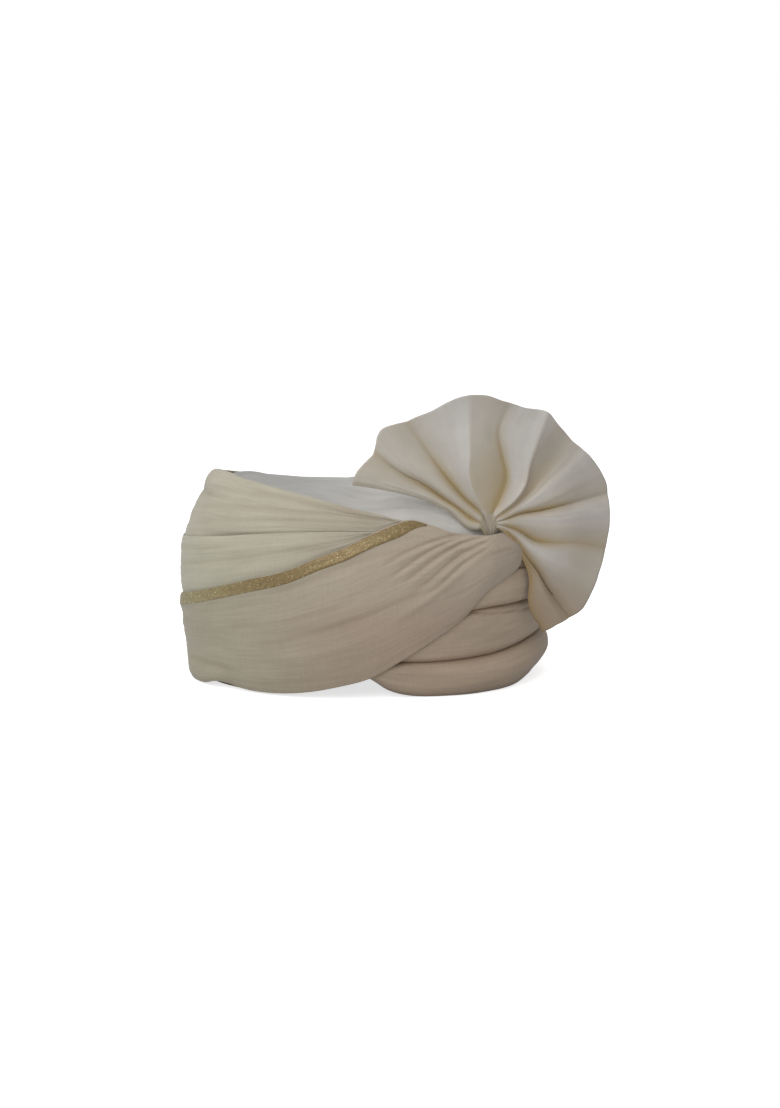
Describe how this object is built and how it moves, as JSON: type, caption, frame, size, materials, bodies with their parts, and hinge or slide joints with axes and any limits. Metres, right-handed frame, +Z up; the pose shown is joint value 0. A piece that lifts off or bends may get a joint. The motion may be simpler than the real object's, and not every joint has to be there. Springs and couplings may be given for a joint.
{
  "type": "tied turban pagri",
  "caption": "Ready-tied cream cloth turban: a wound oval body with drawn cloths, a gold-bordered edge, a satin crown and a pleated fan at the knot.",
  "frame": {"origin": "middle of the bounding box's foot, on the surface that the rim stands on", "axes": "+Z up, +X towards the nape end, -X towards the forehead end, -Y towards the knot and fan side"},
  "size_m": [0.3156, 0.2202, 0.2131],
  "materials": {
    "cream_cloth": "matte slubby silk-cotton, cream, fine plain weave",
    "satin_cloth": "smooth soft satin, ivory",
    "gold_border": "woven gold thread, sparkling"
  },
  "bodies": {
    "root": {"rim_roll": "cream_cloth", "low_roll": "cream_cloth", "middle_roll": "cream_cloth", "upper_roll": "cream_cloth", "front_cloth": "cream_cloth", "brow_cloth": "cream_cloth", "crest_cloth": "cream_cloth", "gold_border": "gold_border", "crown_cloth": "satin_cloth", "pleated_fan": "satin_cloth"}
  },
  "joints": []
}
